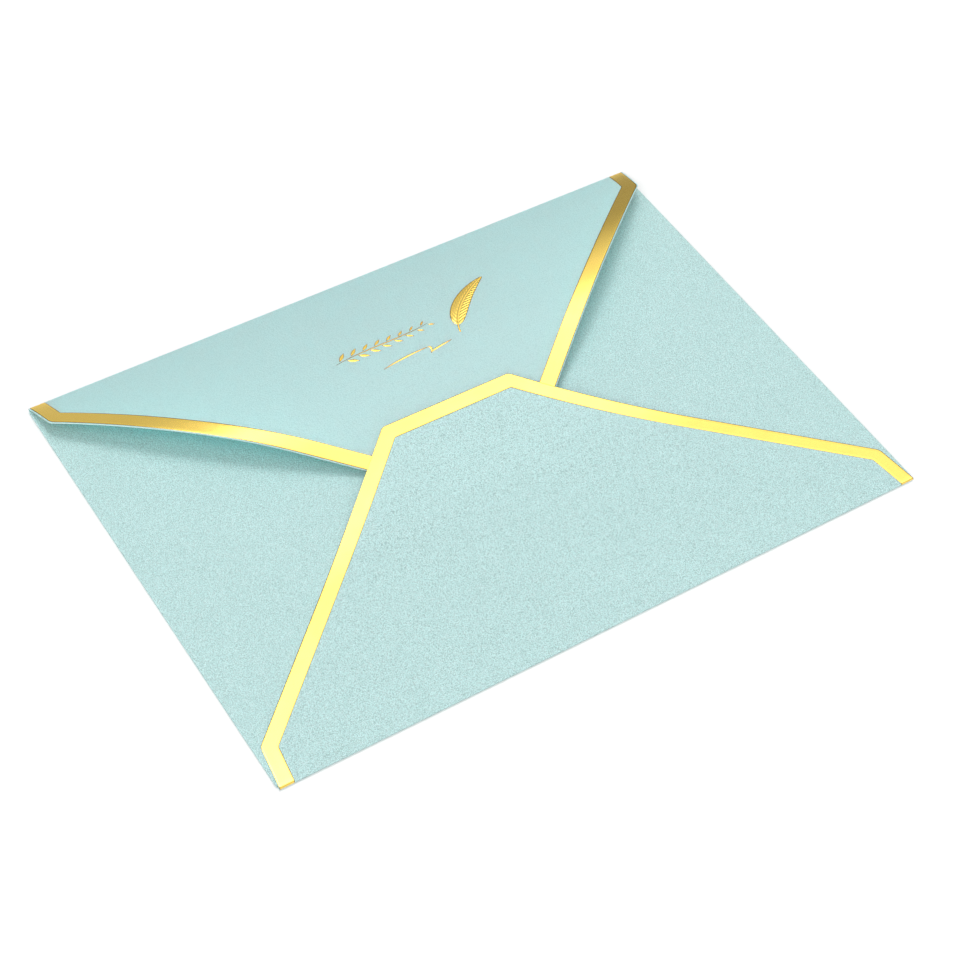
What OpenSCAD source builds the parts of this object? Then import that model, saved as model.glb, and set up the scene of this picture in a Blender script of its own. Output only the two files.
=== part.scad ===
// Gift envelope folded from one sheet of pearl paper, with gold foil stamped on its two long flaps.
// It lies on its front, back up: X along the long side, Y towards the top flap's fold, Z up.
// The origin is the centre of the face that it lies on. All lengths are in millimetres.

/* [Envelope] */
// Length of the envelope, along the two long folds
env_l = 175; // [140:1:230]
// Height of the envelope, from the bottom fold to the top fold
env_h = 125; // [110:1:165]

/* [Paper] */
// Thickness of the paper
paper_t = 0.22; // [0.18:0.01:0.3]
// Height of the empty pocket between the front and the side flaps
pocket_gap = 0.15; // [0.1:0.05:0.8]
// Thickness of the glue line
glue_t = 0.05; // [0.04:0.01:0.12]
// Width of each glue line
glue_w = 8; // [4:0.5:12]
// How far a glue line stays back from the edge that it holds
glue_inset = 2; // [1:0.5:4]

/* [Side flaps] */
// Length that the cut takes off each end of a side flap's fold
side_relief = 1; // [0.8:0.1:3]
// Distance of a side flap's shoulders from its fold
side_shoulder_in = 10; // [6:1:16]
// Distance of a side flap's shoulders from the ends of its fold, measured along it
side_shoulder_drop = 3.5; // [2:0.5:8]
// Free gap between the tips of the two side flaps
side_tip_gap = 24; // [16:1:40]
// Width of a side flap's blunt tip
side_tip_w = 9; // [5:1:20]

/* [Bottom flap] */
// Distance of the bottom flap's shoulders from its fold
bottom_shoulder_up = 11.3; // [8:0.1:20]
// How far the bottom flap's shoulders stand in from the ends of its fold
bottom_shoulder_in = 1.5; // [1:0.1:5]
// Corner radius at the bottom flap's shoulders
bottom_shoulder_r = 3; // [1:0.5:10]
// Share of the envelope's height that the bottom flap covers
bottom_share = 0.595; // [0.55:0.005:0.64]
// Width of the bottom flap's blunt tip
bottom_tip_w = 36; // [20:0.1:60]
// Radius of the curve that lifts the bottom flap's tip over the top flap
lift_r = 130; // [40:1:140]

/* [Top flap] */
// Distance of the top flap's shoulders from its fold
top_shoulder_up = 9.4; // [7:0.1:16]
// How far the top flap's shoulders stand in from the ends of its fold
top_shoulder_in = 1.4; // [1:0.1:5]
// Corner radius at the top flap's shoulders
top_shoulder_r = 2.5; // [1:0.5:6]
// How far the top flap's tip reaches under the bottom flap's tip, seen from above
tip_overlap = 12.9; // [8:0.1:18]
// Width of the top flap's blunt tip
top_tip_w = 42.2; // [20:0.1:60]
// Inner radius of the top flap's soft fold
top_fold_r = 0.3; // [0.25:0.05:0.6]
// Height of the bowed top flap above the surface that the envelope lies on
bow_h = 7.5; // [5:0.05:9]
// Distance from the top fold to the highest line of the bow
bow_from_fold = 33.5; // [28:0.5:36]
// Length of the top flap's straight end, which is tucked under the bottom flap
tuck_l = 16; // [6:0.5:20]
// Clearance round the tucked tip
tuck_gap = 0.12; // [0.1:0.01:0.3]

/* [Flap tips] */
// Corner radius at the tips of all flaps
tip_r = 2; // [1:0.5:4]

/* [Foil] */
// Thickness of the stamped foil
foil_t = 0.03; // [0.02:0.01:0.05]
// Width of the foil band along the bottom flap's edge
bottom_band_w = 3.7; // [2:0.1:6]
// Width of the foil band along the top flap's edge
top_band_w = 3.9; // [2:0.1:6]
// Bare paper between the top flap's cut edge and its foil band
top_band_inset = 0.25; // [0:0.05:1]
// Inner corner radius of the foil bands
band_inner_r = 1; // [0.5:0.5:3]

/* [Feather] */
// Place of the quill's point, from the middle of the envelope
quill_at = [13.9, 27.7]; // [-40:0.1:40]
// Length of the feather in a straight line, from the quill's point to the vane's tip
feather_l = 21.4; // [14:0.1:24]
// Angle of that line from the X axis
feather_angle = 43.4; // [20:0.1:70]
// How strongly the shaft curves
shaft_bend = 3.2; // [1:0.1:5]
// Share of the feather that is bare quill
quill_share = 0.15; // [0.05:0.01:0.3]
// Width of the bare quill
quill_w = 0.5; // [0.3:0.05:1]
// Width of the vane
vane_w = 4.4; // [3:0.1:6]
// How fully the vane keeps its width towards its tip
vane_fullness = 0.66; // [0.5:0.02:0.9]
// Number of slits between the barbs, on each side of the shaft
barb_count = 7; // [3:1:10]
// Width of a slit between barbs
barb_slit = 0.16; // [0.1:0.02:0.3]
// Angle between the barbs and the shaft
barb_lean = 36; // [25:1:60]
// Distance from the shaft at which a slit starts
barb_root = 0.55; // [0.3:0.05:1]

/* [Pen stroke] */
// Where the pen stroke starts, from the middle of the envelope
stroke_from = [-9.1, 26.1]; // [-40:0.1:40]
// Length of the stroke before its hook
stroke_l = 13.6; // [8:0.1:20]
// Length of the stroke after its hook
stroke_tail_l = 6.6; // [3:0.1:12]
// Depth of the hook
hook_h = 2.1; // [1:0.1:3]
// Widest line of the stroke
stroke_w = 0.5; // [0.3:0.05:1]
// How far the stroke rises before its hook
stroke_rise = 1.2; // [0:0.1:3]
// How far the stroke rises after its hook
stroke_tail_rise = 1.4; // [0.5:0.1:3]
// How roundly the stroke and its hook swing out
stroke_swing = 0.8; // [0.4:0.1:1.2]

/* [Leaf sprig] */
// Place of the sprig's stalk end, from the middle of the envelope
sprig_from = [-18.6, 33]; // [-40:0.1:40]
// Length of the sprig
sprig_l = 27; // [15:1:35]
// How far the sprig's stem rises along its length
sprig_rise = 1.4; // [0:0.1:4]
// Number of leaf pairs
leaf_pairs = 8; // [3:1:10]
// Length of the largest leaf
leaf_l = 3.4; // [2:0.1:5]
// Width of the largest leaf
leaf_w = 1; // [0.5:0.1:2]
// How much smaller the last pair of leaves is, as a share
leaf_shrink = 0.45; // [0:0.05:0.7]
// Angle between a leaf and the stem
leaf_angle = 34; // [20:1:60]
// Width of the stem
stem_w = 0.34; // [0.2:0.02:0.6]
// How far the stem swings to both sides of a straight line
stem_swing = 1.5; // [0:0.1:3]
// Bare paper between a leaf and the stem's middle line
leaf_gap = 0.35; // [0.25:0.05:0.6]

/* [Hidden] */

paper_color = "#bfe3df";
foil_color = "#f0d45a";

// Heights of the layers, from the surface that the envelope lies on
side_low = paper_t + pocket_gap;
side_top = side_low + paper_t;
bottom_low = side_top + glue_t;

// Outer radii of the three kinds of fold
side_fold_out = pocket_gap / 2 + paper_t;
bottom_fold_out = (bottom_low + paper_t) / 2;
top_fold_out = top_fold_r + paper_t;

// Half sizes of the flat front panel, between its folds
panel_x = env_l / 2 - side_fold_out;
panel_y_low = -env_h / 2 + bottom_fold_out;
panel_y_high = env_h / 2 - top_fold_out;

// Reach of the two long flaps from their folds, seen from above
bottom_reach = env_h * bottom_share;
top_reach = env_h - bottom_reach + tip_overlap;

// Places of the flaps' tips and of the bow's highest line
bottom_tip_y = -env_h / 2 + bottom_reach;
top_tip_y = env_h / 2 - top_reach;
bow_y = env_h / 2 - bow_from_fold;
tip_z = side_top + tuck_gap + paper_t;

// Bow between the top fold and its highest line: one arc that is tangent to the fold's own arc
bow_run = panel_y_high - bow_y;
bow_drop = bow_h - top_fold_out;
bow_sides = bow_run * bow_run + bow_drop * bow_drop - top_fold_out * top_fold_out;
bow_r = bow_sides / (2 * (bow_h - 2 * top_fold_out));
bow_angle = asin(bow_run / (bow_r - top_fold_out));

// Bow between its highest line and the tip: an arc and then the straight, tucked end
fall_run = bow_y - top_tip_y;
fall_h = bow_h - tip_z;
tuck_angle = 2 * atan(fall_h / (fall_run + tuck_l));
fall_r = (fall_run - fall_h / tan(tuck_angle)) / tan(tuck_angle / 2);

// Bottom flap: flat, lifted by an arc, and then straight along the tucked end of the top flap
lift_mid_y = top_tip_y + (bottom_low - tip_z - tuck_gap / cos(tuck_angle)) / tan(tuck_angle);
lift_start_y = lift_mid_y - lift_r * tan(tuck_angle / 2);

// Strips are drawn wider and longer than the flaps, and the cut outlines trim them
spare = 1;
strip_w = env_l + 2 * spare;
cut_h = bow_h + spare;

// Share of its full width that a pen line keeps at both ends
line_end_share = 0.3;

// Where the shaft's two curve handles stand, as shares of the feather's length
shaft_handles = [0.21, 0.63];

// How far the quill reaches into the vane, as a share of the feather's length
quill_lap = 0.02;

// The vane's rows stop just inside its two ends, and crowd together towards its round foot
vane_trim = 0.001;
vane_crowding = 1.4;

// A bend is drawn in steps that turn by at most this angle and are at most this long
bend_step_angle = 10;
bend_step_l = 2;

// Small vector helpers for the outlines
function unit(v) = v / norm(v);
function left_of(v) = [-v[1], v[0]];
function cross2(a, b) = a[0] * b[1] - a[1] * b[0];

// Corner at b, between a and c, moved in by d along both of its edges
function inset_corner(a, b, c, d) =
    let (u = unit(a - b), v = unit(c - b), half = acos(u * v) / 2)
    b + unit(u + v) * d / sin(half);

// Corner at b, between a and c, as the points of an arc of radius r
function round_corner(a, b, c, r, steps = 8) =
    let (u = unit(a - b), v = unit(c - b), half = acos(u * v) / 2)
    let (middle = b + unit(u + v) * r / sin(half), first = b + u * r / tan(half) - middle)
    let (start = atan2(first[1], first[0]), turn = sign(cross2(b - a, c - b)) * (180 - 2 * half))
    [for (i = [0:steps]) middle + r * [cos(start + turn * i / steps), sin(start + turn * i / steps)]];

// Cut line of a flap that points along +Y from a fold on the X axis: its corners, moved in by d
function flap_corners(half_fold, shoulder_in, shoulder_up, half_tip, reach, d) =
    let (root = [-half_fold, 0], shoulder = [shoulder_in - half_fold, shoulder_up])
    let (tip = [-half_tip, reach], far_tip = [half_tip, reach])
    let (side = unit(shoulder - root), past = root - side * spare)
    [
        past - left_of(side) * d,
        inset_corner(past, shoulder, tip, d),
        inset_corner(shoulder, tip, far_tip, d)
    ];

// The same cut line as a closed outline with round corners, mirrored about the Y axis
function flap_outline(corners, shoulder_r, corner_r) =
    let (far_tip = [-corners[2][0], corners[2][1]])
    let (shoulder = round_corner(corners[0], corners[1], corners[2], shoulder_r))
    let (tip = round_corner(corners[1], corners[2], far_tip, corner_r))
    let (near_side = concat([corners[0]], shoulder, tip), last = len(near_side) - 1)
    concat(near_side, [for (i = [0:last]) [-near_side[last - i][0], near_side[last - i][1]]]);

// Points of an arc from a to b that bulges by h to its left
function bulged(a, b, h, steps = 16) =
    let (half = norm(b - a) / 2, r = (half * half + h * h) / (2 * h), reach = asin(half / r))
    let (along = unit(b - a), across = left_of(along), middle = (a + b) / 2 + across * (h - r))
    [
        for (i = [0:steps])
        let (t = reach * (2 * i / steps - 1))
        middle + r * (along * sin(t) + across * cos(t))
    ];

// Shares from 0 to 1 in even steps
function even(steps) = [for (i = [0:steps]) i / steps];

// Points at the given shares of a Bezier curve from a to d, drawn towards b and c
function bezier(a, b, c, d, shares = even(12)) =
    [
        for (t = shares)
        let (s = 1 - t)
        s * s * s * a + 3 * s * s * t * b + 3 * s * t * t * c + t * t * t * d
    ];

// A flap's section is a list of stretches, from the panel's edge to past the flap's tip.
// Each is [radius, turn, length] along the sheet's outer face: a bend has a radius and a turn,
// which is positive towards the inner face.
function straight(length) = [0, 0, length];
function bend(r, turn) = [r, turn, 0];
function heading(angle) = [cos(angle), sin(angle)];

// Points [place, angle] at the end of every step of one stretch that starts at the given place and angle
function stretch_points(stretch, at, angle) =
    let (r = stretch[0], turn = stretch[1], side = sign(turn))
    let (middle = at + side * r * left_of(heading(angle)))
    let (length = r * abs(turn) * PI / 180)
    let (steps = max(ceil(abs(turn) / bend_step_angle), ceil(length / bend_step_l)))
    turn == 0 ? [[at + stretch[2] * heading(angle), angle]]
    : [for (i = [1:steps]) let (a = angle + turn * i / steps) [middle - side * r * left_of(heading(a)), a]];

// Points of all stretches, one after another
function section_points(stretches, at = [0, 0], angle = 0, i = 0) =
    let (points = stretch_points(stretches[i], at, angle), last = points[len(points) - 1])
    let (rest = i + 1 < len(stretches) ? section_points(stretches, last[0], last[1], i + 1) : [])
    concat(i == 0 ? [[at, angle]] : [], points, rest);

// Strip of that section between two depths below the sheet's outer face, along X. It runs towards +Y.
module strip(stretches, depths) {
    points = section_points(stretches);
    outer = [for (p = points) p[0] + depths[0] * left_of(heading(p[1]))];
    inner = [for (p = points) p[0] + depths[1] * left_of(heading(p[1]))];
    rotate([90, 0, 90]) linear_extrude(strip_w, center = true)
        polygon(concat(outer, [for (i = [1:len(inner)]) inner[len(inner) - i]]));
}

// Side flap, from the right edge of the front panel, before its outline is cut
module side_strip(depths) {
    translate([panel_x, 0, 0]) rotate([0, 0, -90])
        strip([bend(side_fold_out, 180), straight(env_l / 2)], depths);
}

// Bottom flap before its outline is cut
module bottom_strip(depths) {
    stretches = [
        bend(bottom_fold_out, 180),
        straight(lift_start_y - panel_y_low),
        bend(lift_r - paper_t, -tuck_angle),
        straight(env_h / 2)
    ];
    translate([0, panel_y_low, 0]) mirror([0, 1, 0]) strip(stretches, depths);
}

// Top flap before its outline is cut
module top_strip(depths) {
    stretches = [
        bend(top_fold_out, 180 - bow_angle),
        bend(bow_r, bow_angle),
        bend(fall_r, tuck_angle),
        straight(tuck_l + spare)
    ];
    translate([0, panel_y_high, 0]) strip(stretches, depths);
}

// Depths of the sheet and of the foil, from the sheet's outer face inwards
paper_depths = [0, paper_t];
foil_depths = [-foil_t, 0];

// Cut outlines, seen from above
module side_outline() {
    half_fold = env_h / 2 - side_relief;
    depth = (env_l - side_tip_gap) / 2;
    corners = flap_corners(half_fold, side_shoulder_drop, side_shoulder_in, side_tip_w / 2, depth, 0);
    translate([env_l / 2, 0]) rotate(90) polygon(flap_outline(corners, tip_r, tip_r));
}

module bottom_outline(inset, shoulder_r, corner_r) {
    half_tip = bottom_tip_w / 2;
    corners = flap_corners(panel_x, bottom_shoulder_in, bottom_shoulder_up, half_tip, bottom_reach, inset);
    translate([0, -env_h / 2]) polygon(flap_outline(corners, shoulder_r, corner_r));
}

module top_outline(inset, shoulder_r, corner_r) {
    corners = flap_corners(panel_x, top_shoulder_in, top_shoulder_up, top_tip_w / 2, top_reach, inset);
    translate([0, env_h / 2]) mirror([0, 1]) polygon(flap_outline(corners, shoulder_r, corner_r));
}

// Glue line that holds the right half of the bottom flap's slanted edge to the side flap under it
module glue_line() {
    shoulder = [panel_x - bottom_shoulder_in, bottom_shoulder_up - env_h / 2];
    tip = [bottom_tip_w / 2, bottom_tip_y];
    along = unit(tip - shoulder);
    length = (lift_start_y - shoulder[1]) / along[1] - glue_w;
    translate([shoulder[0], shoulder[1], side_top - paper_t / 2]) rotate(atan2(along[1], along[0]))
        translate([0, glue_inset, 0]) cube([length, glue_w, glue_t + paper_t]);
}

// The whole sheet: front panel, four folds, four flaps and the two glue lines
module paper_sheet() {
    color(paper_color) {
        translate([-panel_x, panel_y_low, 0]) cube([2 * panel_x, panel_y_high - panel_y_low, paper_t]);
        for (side = [0, 1]) mirror([side, 0, 0]) {
            intersection() {
                side_strip(paper_depths);
                linear_extrude(cut_h) side_outline();
            }
            glue_line();
        }
        intersection() {
            bottom_strip(paper_depths);
            linear_extrude(cut_h) bottom_outline(0, bottom_shoulder_r, tip_r);
        }
        intersection() {
            top_strip(paper_depths);
            linear_extrude(cut_h) top_outline(0, top_shoulder_r, tip_r);
        }
    }
}

// Foil bands along the cut edges: they end at the outermost line of the folds
module bottom_flap_foil() {
    color(foil_color) intersection() {
        bottom_strip(foil_depths);
        translate([0, 0, bottom_fold_out]) linear_extrude(cut_h) difference() {
            bottom_outline(0, bottom_shoulder_r, tip_r);
            bottom_outline(bottom_band_w, band_inner_r, band_inner_r);
        }
    }
}

module top_flap_foil() {
    color(foil_color) intersection() {
        top_strip(foil_depths);
        translate([0, 0, top_fold_out]) linear_extrude(cut_h) difference() {
            top_outline(top_band_inset, top_shoulder_r, tip_r);
            top_outline(top_band_inset + top_band_w, band_inner_r, band_inner_r);
        }
    }
}

// Upright column over a flat outline, which cuts a film to that outline
module column() {
    translate([0, 0, top_fold_out]) linear_extrude(cut_h) children();
}

// Foil stamped on the top flap, inside the columns that are given as children
module stamped() {
    color(foil_color) intersection() {
        top_strip(foil_depths);
        union() children();
    }
}

// Outline round a line of points that reaches halves[i] to both sides of point i
module ribbon(points, halves) {
    last = len(points) - 1;
    normals = [for (i = [0:last]) left_of(unit(points[min(i + 1, last)] - points[max(i - 1, 0)]))];
    near_side = [for (i = [0:last]) points[i] + normals[i] * halves[i]];
    far_side = [for (i = [0:last]) points[last - i] - normals[last - i] * halves[last - i]];
    polygon(concat(near_side, far_side));
}

// Line through the points, thin at both ends and at most w wide
module pen_line(points, w) {
    last = len(points) - 1;
    swell = 1 - line_end_share;
    ribbon(points, [for (i = [0:last]) w / 2 * (line_end_share + swell * sin(180 * i / last))]);
}

// Place on the feather's shaft, which runs from the quill's point at share 0 to the vane's tip at share 1
function shaft_point(share) =
    let (rise = [feather_l * shaft_handles[0], shaft_bend])
    let (fall = [feather_l * shaft_handles[1], shaft_bend])
    bezier([0, 0], rise, fall, [feather_l, 0], [share])[0];

// Half width of the vane, which is round at its foot and runs out to a point
function vane_half(share) =
    let (f = (share - quill_share) / (1 - quill_share))
    vane_w / 2 * pow(sin(180 * pow(f, vane_fullness)), vane_fullness);

// Feather: a bare quill and a vane that is slit between its barbs
module feather_foil() {
    steps = 32;
    vane_share = 1 - quill_share;
    shares = [for (t = even(steps)) vane_trim + (1 - 2 * vane_trim) * pow(t, vane_crowding)];
    rows = [for (t = shares) quill_share + vane_share * t];
    quill = [for (t = even(6)) shaft_point(t * (quill_share + quill_lap))];
    stamped() translate(quill_at) rotate(feather_angle) {
        column() ribbon(quill, [for (p = quill) quill_w / 2]);
        difference() {
            column() ribbon([for (t = rows) shaft_point(t)], [for (t = rows) vane_half(t)]);
            for (i = [1:barb_count], side = [-1, 1]) {
                share = quill_share + vane_share * (i - 0.5) / (barb_count + 1);
                lean = shaft_point(share + quill_lap) - shaft_point(share);
                translate(shaft_point(share)) rotate(atan2(lean[1], lean[0]) + side * barb_lean)
                    column() translate([barb_root, -barb_slit / 2]) square([vane_w, barb_slit]);
            }
        }
    }
}

// Pen stroke: a long line, a hook down and back, and a short tail
module pen_stroke_foil() {
    crest = stroke_from + [stroke_l, stroke_rise];
    hook = crest - [hook_h / 4, hook_h];
    tail = hook + [stroke_tail_l, stroke_tail_rise];
    third = [stroke_l / 3, 0];
    up = [0, stroke_swing];
    out = [stroke_swing, 0];
    rise = bezier(stroke_from, stroke_from + third + up, crest - third, crest);
    turn = bezier(crest - out, crest + out, hook + out + [0, hook_h / 2], hook);
    run_out = bezier(hook, hook + out / 2 + up, tail - [stroke_tail_l / 3, stroke_swing / 2], tail);
    stamped() {
        column() pen_line(rise, stroke_w);
        column() pen_line(turn, stroke_w);
        column() pen_line(run_out, stroke_w);
    }
}

// One pointed leaf along +X
module leaf(length, width) {
    polygon(concat(bulged([0, 0], [length, 0], width / 2, 8), bulged([length, 0], [0, 0], width / 2, 8)));
}

// Leaf sprig: a curved stem with separate leaves on both sides, which get smaller towards its end
module sprig_foil() {
    end = sprig_from + [sprig_l, sprig_rise];
    swing = [sprig_l / 3, stem_swing];
    stem = bezier(sprig_from, sprig_from + swing, end - swing, end, even(4 * leaf_pairs));
    stamped() {
        column() pen_line(stem, stem_w);
        for (i = [1:leaf_pairs], side = [0, 1]) {
            at = 4 * i - 3 + 2 * side;
            size = 1 - leaf_shrink * i / leaf_pairs;
            lean = stem[at + 1] - stem[at - 1];
            turn = leaf_angle * (1 - 2 * side);
            translate(stem[at]) rotate(atan2(lean[1], lean[0]) + turn)
                translate([leaf_gap / sin(leaf_angle), 0]) column() leaf(leaf_l * size, leaf_w * size);
        }
    }
}

paper_sheet();
bottom_flap_foil();
top_flap_foil();
feather_foil();
pen_stroke_foil();
sprig_foil();
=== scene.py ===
"""Looks for the paper envelope: a folded sheet of pearl paper with gold foil, on a pale floor."""

import math

import bmesh
import bpy
import numpy as np
from mathutils import Matrix

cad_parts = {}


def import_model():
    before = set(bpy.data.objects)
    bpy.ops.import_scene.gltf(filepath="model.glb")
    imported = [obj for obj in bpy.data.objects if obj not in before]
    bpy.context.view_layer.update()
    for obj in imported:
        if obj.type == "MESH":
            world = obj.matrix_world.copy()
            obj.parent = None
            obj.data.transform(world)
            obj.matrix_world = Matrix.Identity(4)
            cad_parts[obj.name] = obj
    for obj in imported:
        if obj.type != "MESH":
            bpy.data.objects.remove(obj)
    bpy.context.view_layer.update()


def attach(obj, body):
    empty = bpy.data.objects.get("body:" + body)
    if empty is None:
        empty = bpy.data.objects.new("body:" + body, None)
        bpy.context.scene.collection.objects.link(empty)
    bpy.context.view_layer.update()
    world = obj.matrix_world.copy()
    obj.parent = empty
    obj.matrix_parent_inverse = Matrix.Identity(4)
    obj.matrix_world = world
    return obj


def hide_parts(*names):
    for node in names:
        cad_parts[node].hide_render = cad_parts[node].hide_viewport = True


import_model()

# Sizes of the part's source, in millimetres
ENV_L, ENV_H = 175.0, 125.0
PAPER_T, POCKET_GAP, GLUE_T = 0.22, 0.15, 0.05
GLUE_W, GLUE_INSET = 8.0, 2.0
SIDE_RELIEF, SIDE_SHOULDER_IN, SIDE_SHOULDER_DROP = 1.0, 10.0, 3.5
SIDE_TIP_GAP, SIDE_TIP_W = 24.0, 9.0
BOTTOM_SHOULDER_UP, BOTTOM_SHOULDER_IN, BOTTOM_SHOULDER_R = 11.3, 1.5, 3.0
BOTTOM_REACH, BOTTOM_TIP_W, LIFT_R = 0.595 * ENV_H, 36.0, 130.0
TOP_SHOULDER_UP, TOP_SHOULDER_IN, TOP_SHOULDER_R = 9.4, 1.4, 2.5
TIP_OVERLAP, TOP_TIP_W, TOP_FOLD_R = 12.9, 42.2, 0.3
BOW_H, BOW_FROM_FOLD, TUCK_L, TUCK_GAP = 7.5, 33.5, 16.0, 0.12
TIP_R = 2.0
FOIL_T, BOTTOM_BAND_W, TOP_BAND_W, TOP_BAND_INSET, BAND_INNER_R = 0.03, 3.7, 3.9, 0.25, 1.0

# Heights, folds and the front panel, worked out as in the source
SIDE_LOW = PAPER_T + POCKET_GAP
SIDE_TOP = SIDE_LOW + PAPER_T
BOTTOM_LOW = SIDE_TOP + GLUE_T
SIDE_FOLD_OUT = POCKET_GAP / 2 + PAPER_T
BOTTOM_FOLD_OUT = (BOTTOM_LOW + PAPER_T) / 2
TOP_FOLD_OUT = TOP_FOLD_R + PAPER_T
PANEL_X = ENV_L / 2 - SIDE_FOLD_OUT
PANEL_Y_LOW = -ENV_H / 2 + BOTTOM_FOLD_OUT
PANEL_Y_HIGH = ENV_H / 2 - TOP_FOLD_OUT
SIDE_HALF = ENV_H / 2 - SIDE_RELIEF
TOP_REACH = ENV_H - BOTTOM_REACH + TIP_OVERLAP
TOP_TIP_Y = ENV_H / 2 - TOP_REACH
BOW_Y = ENV_H / 2 - BOW_FROM_FOLD
TIP_Z = SIDE_TOP + TUCK_GAP + PAPER_T
BOW_RUN, BOW_DROP = PANEL_Y_HIGH - BOW_Y, BOW_H - TOP_FOLD_OUT
BOW_R = (BOW_RUN**2 + BOW_DROP**2 - TOP_FOLD_OUT**2) / (2 * (BOW_H - 2 * TOP_FOLD_OUT))
BOW_ANGLE = math.asin(BOW_RUN / (BOW_R - TOP_FOLD_OUT))
FALL_RUN, FALL_H = BOW_Y - TOP_TIP_Y, BOW_H - TIP_Z
TUCK_ANGLE = 2 * math.atan(FALL_H / (FALL_RUN + TUCK_L))
FALL_R = (FALL_RUN - FALL_H / math.tan(TUCK_ANGLE)) / math.tan(TUCK_ANGLE / 2)
LIFT_DROP = BOTTOM_LOW - TIP_Z - TUCK_GAP / math.cos(TUCK_ANGLE)
LIFT_MID_Y = TOP_TIP_Y + LIFT_DROP / math.tan(TUCK_ANGLE)
LIFT_START_Y = LIFT_MID_Y - LIFT_R * math.tan(TUCK_ANGLE / 2)

# Each flap's section along its outer face: bends are (radius, turn), straights are (0, length)
SIDE_SECTION = [(SIDE_FOLD_OUT, math.pi), (0, ENV_L / 2)]
BOTTOM_SECTION = [
    (BOTTOM_FOLD_OUT, math.pi),
    (0, LIFT_START_Y - PANEL_Y_LOW),
    (LIFT_R - PAPER_T, -TUCK_ANGLE),
    (0, ENV_H / 2),
]
TOP_SECTION = [
    (TOP_FOLD_OUT, math.pi - BOW_ANGLE),
    (BOW_R, BOW_ANGLE),
    (FALL_R, TUCK_ANGLE),
    (0, TUCK_L + 1),
]

# Metres in a millimetre
MM = 0.001

# A flap's left side is its right side times this
FLIP = np.array([-1.0, 1.0])


# Vectors in a plane
def unit(v):
    return v / np.linalg.norm(v)


def heading(angle):
    return np.array([math.cos(angle), math.sin(angle)])


def left_of(v):
    """v turned a quarter to the left."""
    return np.array([-v[1], v[0]])


def bezier(a, b, c, d, t):
    a, b, c, d = map(np.asarray, (a, b, c, d))
    return (1 - t) ** 3 * a + 3 * (1 - t) ** 2 * t * b + 3 * (1 - t) * t * t * c + t**3 * d


# Section of a flap
def walk(section, s):
    """Place and direction at path length s along a section."""
    at, angle = np.zeros(2), 0.0
    for i, (radius, amount) in enumerate(section):
        length = radius * abs(amount) if radius else amount
        step = s if i == len(section) - 1 else min(s, length)
        if radius:
            side = math.copysign(1, amount)
            middle = at + side * radius * left_of(heading(angle))
            angle += side * step / radius
            at = middle - side * radius * left_of(heading(angle))
        else:
            at = at + step * heading(angle)
        s -= step
        if s <= 0:
            break
    return at, angle


# Path lengths past the middle of a fold at which the distance from the fold is tabled
FOLD_TABLE = np.concatenate([np.linspace(0, 3, 601), np.arange(3.1, 90, 0.1)])
# Rows of a flap: the most that a bend turns between two, and how far they keep from a corner's
# row and from the last one
ROW_TURN, CORNER_CLEAR, END_CLEAR = math.radians(9), 0.04, 0.05


class Flap:
    """A flap's section and cut line.

    Its own frame has v outwards from the panel's edge and z up. In a cut line, up is the distance
    from the fold as seen from above.
    """

    def __init__(self, section, cut, to_world):
        self.section, self.cut, self.to_world = section, cut, to_world
        self.fold_out = section[0][0]
        self.start = self.fold_out * math.pi / 2
        self.s_table = self.start + FOLD_TABLE
        self.up_table = np.array([self.up_of(s) for s in self.s_table])
        falls = np.diff(self.up_table) < 0
        peak = int(np.argmax(falls)) if falls.any() else len(FOLD_TABLE)
        self.s_table, self.up_table = self.s_table[:peak], self.up_table[:peak]

    def up_of(self, s):
        return self.fold_out - walk(self.section, s)[0][0]

    def s_of(self, up):
        return float(np.interp(up, self.up_table, self.s_table))

    def half(self, s):
        """Half width of the flap at path length s."""
        up = self.up_of(s) if s > self.start else 0.0
        return float(np.interp(up, self.cut[:, 1], self.cut[:, 0]))

    def point(self, x, s, height):
        """World point at x across, path length s, and height above the sheet's outer face."""
        at, angle = walk(self.section, s)
        v, z = at - height * left_of(heading(angle))
        return self.to_world(x, v, z)

    def over(self, x, up, height):
        return self.point(x, self.s_of(up), height)

    def rows(self, bend_step, straight_step):
        """Path lengths of a mesh's rows. Bends stay round, and each corner of the cut has a row."""
        stops, s = {0.0}, 0.0
        for radius, amount in self.section:
            length = radius * abs(amount) if radius else amount
            count = math.ceil(length / straight_step)
            if radius:
                count = max(math.ceil(abs(amount) / ROW_TURN), math.ceil(length / bend_step))
            stops |= {s + length * i / count for i in range(1, count + 1)}
            s += length
        marks = [self.s_of(up) for up in self.cut[:, 1]]
        last = marks[-1] - END_CLEAR
        kept = {x for x in stops if x < last and min(abs(x - m) for m in marks) > CORNER_CLEAR}
        return sorted(kept | set(marks) | {0.0})


# Cut lines
def arc_corner(a, b, c, r, steps=8):
    """Corner at b between a and c, as the points of an arc of radius r."""
    u, v = unit(a - b), unit(c - b)
    half = math.acos(np.dot(u, v)) / 2
    middle = b + unit(u + v) * r / math.sin(half)
    first, last = b + u * r / math.tan(half) - middle, b + v * r / math.tan(half) - middle
    start = math.atan2(first[1], first[0])
    turn = (math.atan2(last[1], last[0]) - start + math.pi) % (2 * math.pi) - math.pi
    return [middle + r * heading(start + turn * i / steps) for i in range(steps + 1)]


def inset_corner(a, b, c, d):
    """Corner at b between a and c, moved in by d from both sides."""
    u, v = unit(a - b), unit(c - b)
    return b + unit(u + v) * d / math.sin(math.acos(np.dot(u, v)) / 2)


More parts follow.
